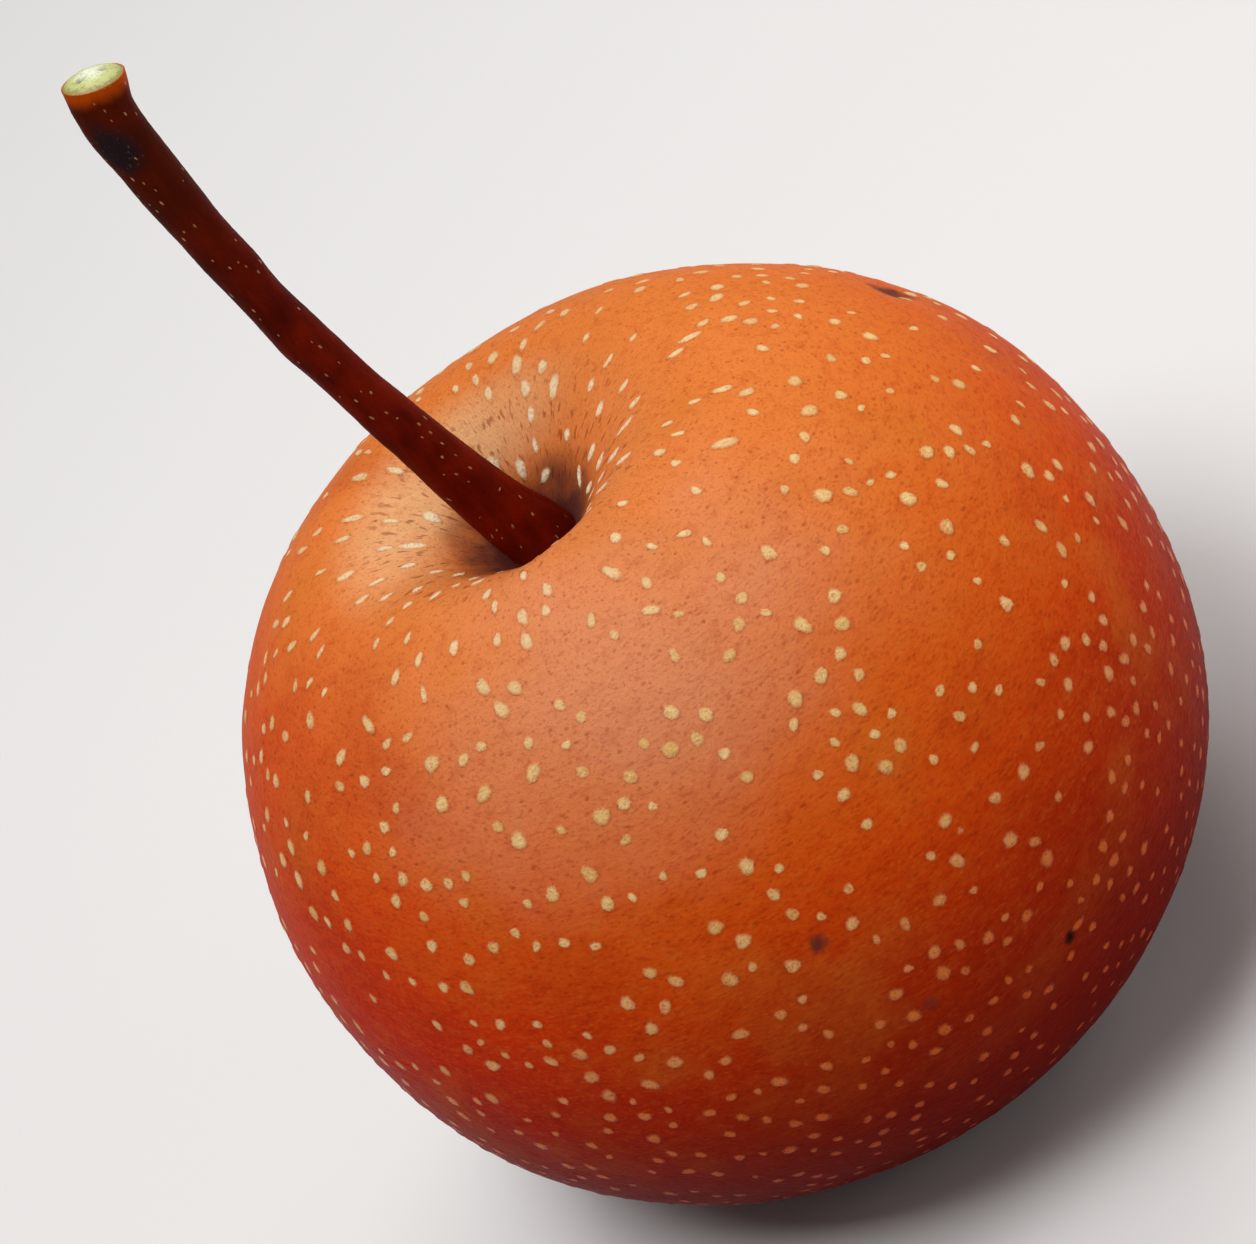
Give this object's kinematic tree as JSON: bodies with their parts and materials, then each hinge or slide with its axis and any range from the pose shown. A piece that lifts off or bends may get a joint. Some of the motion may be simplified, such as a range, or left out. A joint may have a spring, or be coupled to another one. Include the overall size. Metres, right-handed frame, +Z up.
{
  "type": "asian pear",
  "caption": "Round russet Asian pear standing on its base, with raised pale lenticels, a deep stem cavity and a long, slightly bent woody stem with a fresh cut end.",
  "frame": {"origin": "middle of the fruit's footprint, on the surface that it stands on", "axes": "+Z up through the fruit towards the tip of its stem; -Y towards the side that is seen first"},
  "size_m": [0.0728, 0.0732, 0.1048],
  "materials": {
    "russet_skin": "thin orange-brown russet fruit skin with a soft waxy sheen and raised pale corky lenticels",
    "stem_bark": "dark mahogany-brown bark, satin, with a pale green-cream fresh cut at the tip"
  },
  "bodies": {
    "root": {"fruit_body": "russet_skin", "stem": "stem_bark"}
  },
  "joints": []
}
